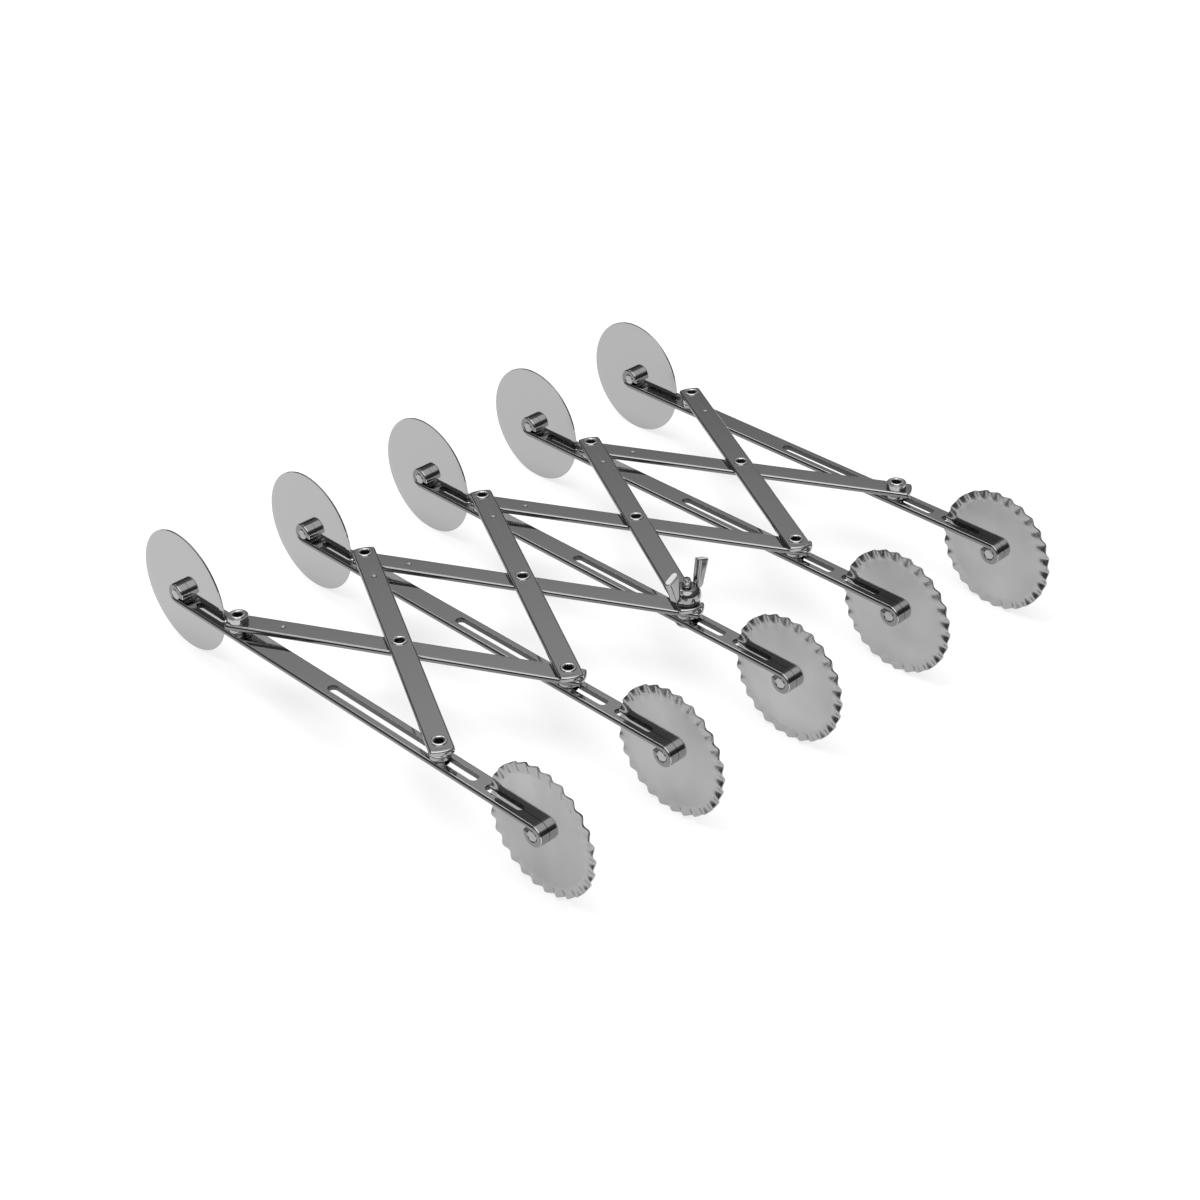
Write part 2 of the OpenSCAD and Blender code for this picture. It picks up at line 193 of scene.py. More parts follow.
class CutterWheels(bpy.types.PropertyGroup):
    """Sizes of the wheels and their pins"""

    wheel_d: length("Wheel", "Diameter of every wheel", 55)
    plain_t: length("Plain Thickness", "Thickness of a plain wheel", 1)
    plain_edge_t: length("Plain Rim", "Thickness left at the rim of a plain wheel", 0.75)
    plain_bevel_w: length("Plain Bevel", "Width of the bevel ground on both sides of a plain wheel", 2.5)
    fluted_t: length("Fluted Thickness", "Thickness of the sheet of a fluted wheel", 0.9)
    flute_count: IntProperty(name="Flutes", description="Number of flutes round a fluted wheel", default=27)
    flute_rise: length("Flute Rise", "Height of a flute to each side of the sheet", 0.68)
    flute_len: length("Flute Length", "Length of a flute from the rim inwards", 4.2)
    axle_d: length("Axle", "Diameter of an axle pin", 4.7)
    axle_chamfer: length("Axle Chamfer", "Rounding on the ends of an axle pin", 0.5)


class CutterRivets(bpy.types.PropertyGroup):
    """Sizes of the rivets, spacers and bushes"""

    pivot_d: length("Rivet", "Diameter of the hollow rivets and of the clamp bolt", 4)
    wall: length("Rivet Wall", "Wall of a hollow rivet", 0.4)
    rim_d: length("Rim", "Diameter of the rolled rim on top of a rivet", 6.6)
    rim_h: length("Rim Height", "Height of the rolled rim", 0.5)
    mouth_d: length("Mouth", "Diameter of the flared mouth inside the rolled rim", 4.1)
    flare_h: length("Flare", "Depth of the flare from the mouth to the bore", 1.6)
    head_d: length("Head", "Diameter of the head under a rivet", 7.4)
    head_h: length("Head Height", "Height of the head under a rivet", 0.6)
    spacer_d: length("Spacer", "Diameter of the spacers and bushes", 8.8)
    soft_r: length("Soft Edge", "Rounding of the edges of spacers, bushes and washers", 0.3)
    hole_play: length("Hole Play", "Radial clearance of rivets and pins in their holes", 0.05)


class CutterClamp(bpy.types.PropertyGroup):
    """Sizes of the clamp bolt, its washer and the wing nut"""

    head_d: length("Bolt Head", "Diameter of the clamp bolt's head", 10)
    head_h: length("Bolt Head Height", "Height of the clamp bolt's head", 1.6)
    bolt_rise: length("Bolt Rise", "Height of the bolt's end above the links", 10.8)
    point_d: length("Bolt Point", "Diameter of the narrow point at the bolt's end", 3.3)
    point_h: length("Bolt Point Height", "Height of the narrow point", 1.2)
    thread_pitch: length("Thread Pitch", "Rise of the bolt's thread in one turn", 0.8)
    thread_depth: length("Thread Depth", "Depth of the bolt's thread", 0.4)
    washer_d: length("Washer", "Diameter of the clamp washer", 11)
    washer_t: length("Washer Thickness", "Thickness of the clamp washer", 1)
    nut_d: length("Nut Belly", "Diameter of the wing nut's body at its belly", 12)
    nut_base_d: length("Nut Base", "Diameter of the wing nut's body on the washer", 10.5)
    nut_belly_h: length("Belly Height", "Height of the belly above the washer", 2.2)
    nut_h: length("Nut Height", "Height of the wing nut's body", 6)
    nut_shoulder_r: length("Nut Shoulder", "Round shoulder of the wing nut's body", 2.8)
    wing_span: length("Wing Span", "Distance between the tips of the wings", 27.2)
    wing_h: length("Wing Height", "Height of the wings above the washer", 15.8)
    wing_lean: angle("Wing Lean", "Lean of the wings away from upright", 22)
    wing_tip_w: length("Wing Tip", "Width of a wing at its tip", 7.4)
    wing_edge_r: length("Wing Edge", "Rounding of the edges that run up a wing", 1.65)
    wing_root_w: length("Wing Root", "Width of a wing at its root", 2.6)
    wing_root_h: length("Wing Root Height", "Height of a wing's root above the washer", 3.4)
    wing_t: length("Wing Thickness", "Thickness of a wing", 3.4)
    wing_turn: angle("Wing Turn", "Turn of the wings away from square to the arms", 6.2)


class CutterFinish(bpy.types.PropertyGroup):
    """Colours of the steels and of the studio"""

    strip: tint("Strip Steel", "Polished stainless strip of the arms, links and bushes", "#B8B8B8")
    wheel: tint("Wheel Steel", "Polished stainless sheet of the plain wheels", "#AAAAAA")
    pressed: tint("Pressed Steel", "Pressed stainless of fluted wheels, pins and spacers", "#A4A4A4")
    flute: tint("Flute Steel", "Satin stainless of the flutes", "#A3A3A3")
    # The narrow sides' colour is painted shade, darker than the strip for the shaded floor they mirror, and
    # the dark band along their top is a painted reflection of the dark horizon
    edge: tint("Edge Steel", "Burnished band on the narrow sides of the strips", "#7F7F7F")
    torn: tint("Torn Steel", "Torn band along the top of those sides", "#383838")
    # In the rivets' bores this dark colour is painted shade
    cut: tint("Cut Steel", "Dull steel inside slots and bores, and of the washer", "#5B5B5B")
    rivet: tint("Rivet Steel", "Bright stainless of the hollow rivets", "#E8E8E8")
    clamp: tint("Clamp Steel", "Bright nickel plate of the clamp", "#9D9D9D")
    floor: tint("Floor", "Pale floor under the cutter", "#F4F4F4")


def clear_selection():
    """Leaves nothing selected, so that an operator acts on the new piece alone."""
    bpy.ops.object.select_all(action="DESELECT")


def take(piece):
    """Selects one piece alone and makes it the active one."""
    clear_selection()
    piece.select_set(True)
    bpy.context.view_layer.objects.active = piece


def settle():
    """Moves the place of what is selected into its mesh."""
    bpy.ops.object.transform_apply(location=True, rotation=True, scale=True)


def start(add, name, **settings):
    """Adds a primitive by itself, names it and moves its place into its mesh."""
    clear_selection()
    add(**settings)
    piece = bpy.context.object
    piece.name = name
    settle()
    return piece


def shape(piece):
    """Opens a piece in edit mode, with all its corners selected."""
    take(piece)
    bpy.ops.object.mode_set(mode="EDIT")
    bpy.ops.mesh.select_mode(type="VERT")
    bpy.ops.mesh.select_all(action="SELECT")


def done():
    """Leaves edit mode."""
    bpy.ops.object.mode_set(mode="OBJECT")


def choose(piece, kind, test):
    """Selects the corners, edges or faces of a piece in edit mode that pass a test."""
    bpy.ops.mesh.select_mode(type=kind)
    bpy.ops.mesh.select_all(action="DESELECT")
    mesh = bmesh.from_edit_mesh(piece.data)
    parts = {"VERT": mesh.verts, "EDGE": mesh.edges, "FACE": mesh.faces}[kind]
    for part in parts:
        if test(part):
            part.select_set(True)
    mesh.select_flush_mode()
    bmesh.update_edit_mesh(piece.data)


def close_up():
    """Merges what meets in edit mode and turns all faces outwards."""
    bpy.ops.mesh.select_all(action="SELECT")
    bpy.ops.mesh.remove_doubles(threshold=MERGE)
    bpy.ops.mesh.normals_make_consistent(inside=False)


def apply(piece, kind, **settings):
    """Gives a piece a modifier with its settings and applies it."""
    take(piece)
    modifier = piece.modifiers.new(kind.lower(), kind)
    for name, value in settings.items():
        setattr(modifier, name, value)
    bpy.ops.object.modifier_apply(modifier=modifier.name)


def combine(piece, tool, operation="DIFFERENCE"):
    """Cuts a tool out of a piece, joins it on or keeps what both share, and takes the tool away."""
    apply(piece, "BOOLEAN", object=tool, operation=operation, solver="EXACT")
    bpy.data.objects.remove(tool)


def soften(piece, radius, steps):
    """Rounds all the sharp edges of a piece."""
    shape(piece)
    choose(piece, "EDGE", lambda edge: edge.calc_face_angle(0) > SHARP_ANGLE)
    bpy.ops.mesh.bevel(offset=radius, segments=steps, affect="EDGES")
    done()


def polish(piece, steel, others=(), angle=SMOOTH_ANGLE):
    """Gives a finished piece its steel, shades round faces smoothly and keeps flat ones flat.

    Others are further steels, each with the test that its faces pass. Each point's own place is kept, so
    that a pattern follows the piece to all its copies."""
    take(piece)
    bpy.ops.object.shade_smooth_by_angle(angle=angle)
    apply(piece, "WEIGHTED_NORMAL", keep_sharp=True)
    own_place = piece.data.attributes.new("own_place", "FLOAT_VECTOR", "POINT")
    for point, vertex in zip(own_place.data, piece.data.vertices):
        point.vector = vertex.co
    piece.data.materials.clear()
    for made in (steel, *(other for other, _ in others)):
        piece.data.materials.append(made)
    for face in piece.data.polygons:
        matches = [k for k, (_, test) in enumerate(others, 1) if test(face)]
        face.material_index = matches[0] if matches else 0


def fit(model, places):
    """Copies a finished piece to its places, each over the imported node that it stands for."""
    for node, place in places.items():
        piece = model.copy()
        piece.data = model.data.copy()
        piece.name = piece.data.name = f"{node}_steel"
        bpy.context.collection.objects.link(piece)
        piece.matrix_world = place
        take(piece)
        settle()
        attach(piece, BODY_OF[node])
        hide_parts(node)
    bpy.data.objects.remove(model)


def round_tool(y, diameter, height, steps=ROUND_STEPS):
    """Upright round tool at a place along Y."""
    return start(bpy.ops.mesh.primitive_cylinder_add, "round_tool", vertices=steps, radius=diameter / 2,
                 depth=height, location=(0, y, 0))


def slot_tool(y0, y1, width, height, steps=ROUND_STEPS):
    """Upright tool with round ends, between two places along Y."""
    tool = round_tool(y0 + width / 2, width, height, steps)
    shape(tool)
    choose(tool, "VERT", lambda corner: corner.co.y > y0 + width / 2)
    bpy.ops.transform.translate(value=(0, y1 - y0 - width, 0))
    done()
    return tool


def strip(name, y0, y1, width, thickness, edge_r):
    """Straight strip along Y between two places, with its long edges rounded."""
    made = start(bpy.ops.mesh.primitive_cube_add, name, size=1, scale=(width, y1 - y0, thickness),
                 location=(0, (y0 + y1) / 2, 0))
    shape(made)
    choose(made, "EDGE", lambda edge: abs(edge.verts[0].co.y - edge.verts[1].co.y) > (y1 - y0) / 2)
    bpy.ops.mesh.bevel(offset=edge_r, segments=EDGE_STEPS, affect="EDGES")
    done()
    return made


def draw(name, profile):
    """Draws a profile of (radius, height) points as a chain of extruded corners, and stays in edit mode."""
    drawn = start(bpy.ops.mesh.primitive_plane_add, name, size=MM)
    shape(drawn)
    bpy.ops.mesh.merge(type="CENTER")
    bpy.ops.transform.translate(value=(profile[0][0], 0, profile[0][1]))
    for (r0, z0), (r1, z1) in zip(profile, profile[1:]):
        bpy.ops.mesh.extrude_region_move(TRANSFORM_OT_translate={"value": (r1 - r0, 0, z1 - z0)})
    return drawn


def lathe(name, profile, steps=ROUND_STEPS):
    """Turns a profile of (radius, height) points about Z."""
    turned = draw(name, profile)
    bpy.ops.mesh.select_all(action="SELECT")
    bpy.ops.mesh.spin(steps=steps, angle=math.tau, center=(0, 0, 0), axis=(0, 0, 1))
    close_up()
    done()
    return turned


def bead(r0, r1, z, rise):
    """Profile of a half-round bead that swells off a level from one radius to another."""
    middle, half = (r0 + r1) / 2, (r1 - r0) / 2
    turns = [math.pi * k / BEAD_STEPS for k in range(BEAD_STEPS + 1)]
    return [(middle - half * math.cos(turn), z + rise * math.sin(turn)) for turn in turns]


def corner(r, z, radius, start_deg):
    """Profile of a quarter round about a point, counterclockwise from an angle."""
    turns = [math.radians(start_deg + 90 * k / CORNER_STEPS) for k in range(CORNER_STEPS + 1)]
    return [(r + radius * math.cos(turn), z + radius * math.sin(turn)) for turn in turns]


def ring_profile(r0, r1, height, soft_r):
    """Closed profile of a flat ring with soft outer edges."""
    outer = corner(r1 - soft_r, soft_r, soft_r, -90) + corner(r1 - soft_r, height - soft_r, soft_r, 0)
    return [(r0, 0)] + outer + [(r0, height), (r0, 0)]


def pin_hole_r(rivets):
    """Radius of the hole that a rivet or the clamp bolt passes through."""
    return rivets.pivot_d / 2 + rivets.hole_play


def layers(scene):
    """Play between the layers, height and thickness of the spacers, and top of the stack on an arm."""
    strips = scene.cutter_strips
    play = UPPER_Z - LOWER_Z - strips.link_t
    spacer_z = strips.arm_t / 2 + play
    spacer_t = LOWER_Z - play - spacer_z
    return play, spacer_z, spacer_t, UPPER_Z + strips.link_t + play


def add_node(tree, kind, inputs=None, stops=(), **settings):
    """Adds a node with its settings, its stops if it is a ramp, and the values or links of its inputs."""
    made = tree.nodes.new(kind)
    for name, value in settings.items():
        setattr(made, name, value)
    while stops and len(made.color_ramp.elements) < len(stops):
        made.color_ramp.elements.new(1)
    for k, (place, colour) in enumerate(stops):
        made.color_ramp.elements[k].position = place
        made.color_ramp.elements[k].color = (*colour, 1)
    for socket, value in (inputs or {}).items():
        if isinstance(value, bpy.types.NodeSocket):
            tree.links.new(value, made.inputs[socket])
        else:
            made.inputs[socket].default_value = value
    return made


def new_steel(name, colour):
    """Bare metal to be finished, with its node tree and its shader."""
    made = bpy.data.materials.new(name)
    made.use_nodes = True
    shader = made.node_tree.nodes["Principled BSDF"]
    shader.inputs["Base Color"].default_value = (*colour, 1)
    shader.inputs["Metallic"].default_value = 1
    return made, made.node_tree, shader


def uneven_polish(tree, shader, low, high, patterns):
    """Spreads a shader's roughness between two values by the mean of some patterns, and returns these.

    Each has the size of its spots in millimetres, and a stretch if it follows the piece and not the frame."""
    noises = []
    for size, stretch in patterns:
        if stretch:
            own_place = add_node(tree, "ShaderNodeAttribute", attribute_name="own_place").outputs["Vector"]
            place = add_node(tree, "ShaderNodeMapping", {"Vector": own_place, "Scale": stretch}).outputs[0]
        else:
            place = add_node(tree, "ShaderNodeTexCoord").outputs["Object"]
        noise = add_node(tree, "ShaderNodeTexNoise", {"Vector": place, "Scale": 1 / (size * MM)})
        noises.append(noise.outputs[0])
    total = noises[0]
    for noise in noises[1:]:
        total = add_node(tree, "ShaderNodeMath", {0: total, 1: noise}, operation="ADD").outputs[0]
    spread = add_node(tree, "ShaderNodeMapRange", {
        "Value": total,
        "From Min": NOISE_LOW * len(noises),
        "From Max": NOISE_HIGH * len(noises),
        "To Min": low,
        "To Max": high,
    })
    tree.links.new(spread.outputs["Result"], shader.inputs["Roughness"])
    return noises


def strip_steel(finish):
    """Cold-rolled stainless strip, polished along its length: mirrors softly, with fine drawn lines."""
    made, tree, shader = new_steel("strip_steel_finish", finish.strip)
    # Polishing lines are finer than a pixel, so they are drawn 0.3 mm wide and fifty times as long
    lines, _ = uneven_polish(tree, shader, 0.07, 0.12, [(0.3, (1, 0.02, 1)), (14, None)])
    bump = add_node(tree, "ShaderNodeBump", {"Height": lines, "Strength": 0.04, "Distance": 0.02 * MM})
    tree.links.new(bump.outputs["Normal"], shader.inputs["Normal"])
    return made


def wheel_steel(finish):
    """Stainless sheet, ground and polished on both faces: an even grey mirror, a little cloudy."""
    made, tree, shader = new_steel("wheel_steel_finish", finish.wheel)
    # Grinding grit is finer than a pixel, so it is drawn 0.5 mm wide
    uneven_polish(tree, shader, 0.05, 0.1, [(9, None), (0.5, None)])
    return made


def pressed_steel(finish):
    """Stainless, dulled a little by the press: mirrors what is close, blurs what is far, softly cloudy."""
    made, tree, shader = new_steel("pressed_steel_finish", finish.pressed)
    # The grit of the press is finer than a pixel, so it is drawn 0.5 mm wide
    clouds, _ = uneven_polish(tree, shader, 0.08, 0.15, [(32, None), (0.5, None)])
    shades = ((NOISE_LOW, 0.85 * Vector(finish.pressed)), (NOISE_HIGH, 1.12 * Vector(finish.pressed)))
    shade = add_node(tree, "ShaderNodeValToRGB", {"Fac": clouds}, shades).outputs["Color"]
    tree.links.new(shade, shader.inputs["Base Color"])
    return made


def flute_steel(finish):
    """Stainless rim of a fluted wheel, drawn by the press: satin, so that no flute mirrors sharply."""
    made, tree, shader = new_steel("flute_steel_finish", finish.flute)
    # The grit is drawn as on the flat of the wheel
    uneven_polish(tree, shader, 0.2, 0.3, [(0.5, None)])
    return made


def rivet_steel(finish):
    """Rolled and turned stainless, bright all over with faint turning lines."""
    made, tree, shader = new_steel("rivet_steel_finish", finish.rivet)
    # Turning lines are finer than a pixel, so they are drawn 0.25 mm wide
    uneven_polish(tree, shader, 0.12, 0.22, [(0.25, (0.1, 0.1, 1))])
    return made


def cut_steel_and_painted_bore_shade(finish):
    """Steel as the punch and the drawing die left it, inside slots and bores: dull and scored, and dark,
    which in the rivets' bores is painted shade.
    """
    made, tree, shader = new_steel("cut_steel_and_painted_bore_shade_finish", finish.cut)
    # Scores are finer than a pixel, so they are drawn 0.3 mm wide
    uneven_polish(tree, shader, 0.35, 0.55, [(0.3, (1, 1, 0.1))])
    return made


def side_steel_with_painted_shade(finish):
    """Narrow sides of a stainless strip with shear marks, painted darker than the strip as painted shade, and
    with a painted dark reflection in a band along the top.
    """
    made, tree, shader = new_steel("side_steel_with_painted_shade_finish", finish.edge)
    # Shear marks are finer than a pixel, so they are drawn 0.4 mm wide and twenty times as long
    uneven_polish(tree, shader, 0.1, 0.2, [(0.4, (1, 0.05, 1))])
    # Heights over the strip's middle, in millimetres, between which the band of painted dark reflection comes
    # and goes
    reach = 2
    bands = ((0.2, finish.edge), (0.4, finish.torn), (1.3, finish.torn), (1.5, finish.edge))
    stops = [(z / reach, colour) for z, colour in bands]
    own_place = add_node(tree, "ShaderNodeAttribute", attribute_name="own_place").outputs["Vector"]
    height = add_node(tree, "ShaderNodeSeparateXYZ", {"Vector": own_place}).outputs["Z"]
    share = add_node(tree, "ShaderNodeMath", {0: height, 1: reach * MM}, operation="DIVIDE").outputs[0]
    shade = add_node(tree, "ShaderNodeValToRGB", {"Fac": share}, stops).outputs["Color"]
    tree.links.new(shade, shader.inputs["Base Color"])
    return made


def clamp_steel(finish):
    """Cast and turned steel under bright nickel plate: a deep gloss with a slight orange-peel ripple."""
    made, tree, shader = new_steel("clamp_steel_finish", finish.clamp)
    ripple, = uneven_polish(tree, shader, 0.05, 0.1, [(1.2, (1, 1, 1))])
    bump = add_node(tree, "ShaderNodeBump", {"Height": ripple, "Strength": 0.15, "Distance": 0.05 * MM})
    tree.links.new(bump.outputs["Normal"], shader.inputs["Normal"])
    return made


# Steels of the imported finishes
STEELS = {
    "strip_steel": strip_steel,
    "wheel_steel": wheel_steel,
    "rivet_steel": rivet_steel,
    "clamp_steel": clamp_steel,
}


def made_once(scene, steel):
    """Material of a steel, made when it is first asked for."""
    return bpy.data.materials.get(f"{steel.__name__}_finish") or steel(scene.cutter_finish)


def steel_for(scene, node):
    """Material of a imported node's finish."""
    return made_once(scene, STEELS[SLOT_OF[node]])


class DOUGH_CUTTER_OT_arms(bpy.types.Operator):
    """Models the slotted arm, rolled round its pins at both ends, and copies it to its five places"""

    bl_idname = "dough_cutter.arms"
    bl_label = "Arms"

    def execute(self, context):
        strips, rivets = context.scene.cutter_strips, context.scene.cutter_rivets
        arm = strip("arm", -AXLE.y, AXLE.y, strips.arm_w, strips.arm_t, strips.arm_edge_r)
        self.roll_ends(arm, strips)
        cut_h = strips.arm_t + 2 * OVERRUN
        pin_room = strips.slot_w / 2 + strips.slot_room
        combine(arm, round_tool(PIVOT.y, 2 * pin_hole_r(rivets), cut_h))
        combine(arm, slot_tool(SLIDE_FAR_Y - pin_room, SLIDE_NEAR_Y + pin_room, strips.slot_w, cut_h))
        for side in (1, -1):
            ends = sorted((side * (AXLE.y - strips.wheel_slot_len), side * (AXLE.y - strips.knuckle_len)))
            combine(arm, slot_tool(*ends, strips.slot_w, cut_h))
            combine(arm, self.slit_tool(side, strips))
        soften(arm, strips.cut_r, CUT_STEPS)
        polish(arm, steel_for(context.scene, "arm_1"), self.dull_faces(context.scene))
        fit(arm, {f"arm_{i}": arm_place(i) for i in ARMS})
        return {"FINISHED"}

    @staticmethod
    def dull_faces(scene):
        """Steels of the slots' walls and of the strip's narrow sides, with the tests of their faces."""
        strips = scene.cutter_strips
        wall_x = strips.slot_w / 2 + strips.cut_r

        def wall(face):
            in_strip = abs(face.center.z) < strips.arm_t / 2
            return in_strip and abs(face.normal.z) < UPRIGHT and abs(face.center.x) < wall_x

        # The narrow sides take the steel with painted shade and a painted dark reflection along their top
        def side(face):
            return abs(face.normal.x) > FACING and abs(face.center.x) > wall_x

        return (made_once(scene, cut_steel_and_painted_bore_shade), wall), (made_once(scene, side_steel_with_painted_shade), side)

    @staticmethod
    def roll_ends(arm, strips):
        """Rolls the end faces of a strip round the axles, up at one end and down at the other."""
        shape(arm)
        for side in (1, -1):
            choose(arm, "FACE", lambda face: side * face.calc_center_median().y > AXLE.y - MERGE)
            bpy.ops.mesh.spin(steps=CURL_STEPS, angle=strips.curl_angle, center=side * AXLE, axis=(-1, 0, 0))
        close_up()
        done()

    @staticmethod
    def slit_tool(side, strips):
        """Thin tool from a wheel slot out through the rolled end."""
        y0 = AXLE.y - strips.knuckle_len - strips.slot_w / 2
        y1 = AXLE.y + AXLE.z + strips.arm_t / 2 + OVERRUN
        z0 = -strips.arm_t / 2 - OVERRUN
        z1 = 2 * AXLE.z + strips.arm_t / 2 + OVERRUN
        return start(bpy.ops.mesh.primitive_cube_add, "slit_tool", size=1,
                     scale=(strips.slit_w, y1 - y0, z1 - z0),
                     location=(0, side * (y0 + y1) / 2, side * (z0 + z1) / 2))


class DOUGH_CUTTER_OT_links(bpy.types.Operator):
    """Models the link, with round ends, three holes and a punched dimple, and copies it to eight places"""

    bl_idname = "dough_cutter.links"
    bl_label = "Links"

    def execute(self, context):
        strips, rivets = context.scene.cutter_strips, context.scene.cutter_rivets
        hole_r = pin_hole_r(rivets)
        hole_ys = (0, -LINK_LEN / 2, -LINK_LEN)
        link = self.blank(strips)
        for y in hole_ys:
            combine(link, round_tool(y, 2 * hole_r, strips.link_t + 2 * OVERRUN))
        self.round_outline(link, strips, [(Vector((0, y)), hole_r) for y in hole_ys])
        combine(link, self.dimple_tool(strips))
        polish(link, steel_for(context.scene, "lower_link_1"), self.dull_faces(context.scene))
        fit(link, self.places(strips))
        return {"FINISHED"}

    @staticmethod
    def dull_faces(scene):
        """Steels of a link's long sides and of its ends, with the tests of their faces."""

        # The long sides take the steel with painted shade and a painted dark reflection along their top
        def side(face):
            return abs(face.normal.z) < UPRIGHT and abs(face.normal.x) > FACING

        # A link's ends take the darker pressed steel: painted shade, for the shaded floor that they mirror
        def end(face):
            return abs(face.normal.z) < UPRIGHT and abs(face.normal.y) > FACING

        return (made_once(scene, side_steel_with_painted_shade), side), (made_once(scene, pressed_steel), end)

    @staticmethod
    def blank(strips):
        """Straight strip with shallow round ends and rounded corners."""
        y0, y1 = -LINK_LEN - strips.slide_overhang, strips.pivot_overhang
        blank = slot_tool(y0, y1, 2 * strips.link_end_r, strips.link_t, END_STEPS)
        blank.name = "link"
        sides = start(bpy.ops.mesh.primitive_cube_add, "sides", size=1, location=(0, (y0 + y1) / 2, 0),
                      scale=(strips.link_w, y1 - y0 + 2 * OVERRUN, strips.link_t + 2 * OVERRUN))
        combine(blank, sides, "INTERSECT")
        shape(blank)
        choose(blank, "EDGE", lambda edge: abs(edge.verts[0].co.z - edge.verts[1].co.z) > strips.link_t / 2
               and edge.calc_face_angle(0) > SMOOTH_ANGLE)
        bpy.ops.mesh.bevel(offset=strips.link_corner_r, segments=2 * CORNER_STEPS, affect="EDGES")
        done()
        return blank

    @staticmethod
    def round_outline(link, strips, holes):
        """Rounds the edges all round a link and leaves those of its holes."""

        def on_outline(corner):
            return all((corner.co.xy - middle).length > hole_r + MERGE for middle, hole_r in holes)

        shape(link)
        choose(link, "EDGE", lambda edge: edge.calc_face_angle(0) > SHARP_ANGLE
               and all(on_outline(corner) for corner in edge.verts))
        bpy.ops.mesh.bevel(offset=strips.link_edge_r, segments=EDGE_STEPS, affect="EDGES")
        done()

    @staticmethod
    def dimple_tool(strips):
        """Ball that leaves a dimple of the right width and depth in a link's upper face."""
        depth = strips.dimple_depth
        radius = (strips.dimple_d ** 2 / 4 + depth ** 2) / (2 * depth)
        return start(bpy.ops.mesh.primitive_uv_sphere_add, "dimple_tool", segments=BALL_STEPS,
                     ring_count=2 * BALL_STEPS // 3, radius=radius,
                     location=(0, -strips.dimple_place, strips.link_t / 2 + radius - depth))

    @staticmethod
    def places(strips):
        """Lower links lean one way from their own arm, upper links the other way from the next arm."""
        leans = (("lower", 0, LOWER_Z, LINK_TURN), ("upper", 1, UPPER_Z, -LINK_TURN))
        places = {}
        for i in CROSSINGS:
            for name, step, z, turn in leans:
                pivot = Matrix.Translation((0, PIVOT.y, z + strips.link_t / 2))
                places[f"{name}_link_{i}"] = arm_place(i + step) @ pivot @ Matrix.Rotation(turn, 4, "Z")
        return places


def wheel_places(kind, side):
    """Places of the wheels on one side of the cutter, turned to face X."""
    on_axle = Matrix.Translation(side * AXLE) @ Matrix.Rotation(math.pi / 2, 4, "Y")
    return {f"{kind}_wheel_{i}": arm_place(i) @ on_axle for i in ARMS}


class DOUGH_CUTTER_OT_plain_wheels(bpy.types.Operator):
    """Turns the plain wheel with the bevel ground on both of its sides, and copies it to five axles"""

    bl_idname = "dough_cutter.plain_wheels"
    bl_label = "Plain Wheels"

    # Share of the bevel over which it blends into the flat
    blend_share = 0.1

    def execute(self, context):
        wheels, rivets = context.scene.cutter_wheels, context.scene.cutter_rivets
        hole_r, rim_r = wheels.axle_d / 2 + rivets.hole_play, wheels.wheel_d / 2
        flat, edge = wheels.plain_t / 2, wheels.plain_edge_t / 2
        bevel_r = rim_r - wheels.plain_bevel_w
        blend_w = self.blend_share * wheels.plain_bevel_w
        blend_z = flat - self.blend_share * (flat - edge)
        one_side = [(hole_r, flat), (bevel_r - blend_w, flat), (bevel_r + blend_w, blend_z)]
        one_side += [(rim_r - edge / 2, edge), (rim_r, edge / 2)]
        other_side = [(r, -z) for r, z in reversed(one_side)]
        wheel = lathe("plain_wheel", one_side + other_side + one_side[:1], WHEEL_STEPS)
        polish(wheel, steel_for(context.scene, "plain_wheel_1"))
        fit(wheel, wheel_places("plain", 1))
        return {"FINISHED"}


class DOUGH_CUTTER_OT_fluted_wheels(bpy.types.Operator):
    """Turns a disc, presses its rim to and fro into flutes, and copies it to five axles"""

    bl_idname = "dough_cutter.fluted_wheels"
    bl_label = "Fluted Wheels"

    # Quarter steps of one flute, and how far a smoothed wave falls short of its corners
    quarters = 4
    smooth_share = 2 / 3
    # Shares of a flute's length from its root, and of its rise there
    len_shares = (0, 0.2, 0.5, 0.93, 1)
    rise_shares = (0, 0.32, 0.68, 0.97, 1)

    def execute(self, context):
        wheels, rivets = context.scene.cutter_wheels, context.scene.cutter_rivets
        hole_r, flat = wheels.axle_d / 2 + rivets.hole_play, wheels.fluted_t / 2
        root_r = wheels.wheel_d / 2 - wheels.flute_len
        rings = [root_r + share * wheels.flute_len for share in self.len_shares]
        one_side = [(r, flat) for r in (hole_r, hole_r + flat, root_r - wheels.flute_len, *rings)]
        other_side = [(r, -z) for r, z in reversed(one_side)]
        steps = self.quarters * wheels.flute_count
        wheel = lathe("fluted_wheel", one_side + other_side + one_side[:1], steps)
        self.press_flutes(wheel, rings, wheels)
        apply(wheel, "SUBSURF", levels=2, render_levels=2)
        in_flutes = [(made_once(context.scene, flute_steel), lambda face: face.center.xy.length > root_r)]
        polish(wheel, made_once(context.scene, pressed_steel), in_flutes)
        fit(wheel, wheel_places("fluted", -1))
        return {"FINISHED"}

    def press_flutes(self, wheel, rings, wheels):
        """Moves the corners at every crest one way and those at every trough the other way."""
        flute = math.tau / wheels.flute_count

        def at(corner, ring_r, quarter):
            on_ring = abs(math.hypot(corner.co.x, corner.co.y) - ring_r) < MERGE
            phase = round(self.quarters * math.atan2(corner.co.y, corner.co.x) / flute) % self.quarters
            return on_ring and phase == quarter

        shape(wheel)
        for ring_r, share in zip(rings, self.rise_shares):
            for quarter, side in ((1, 1), (3, -1)):
                choose(wheel, "VERT", lambda corner: at(corner, ring_r, quarter))
                rise = side * share * wheels.flute_rise / self.smooth_share
                bpy.ops.transform.translate(value=(0, 0, rise))
        done()


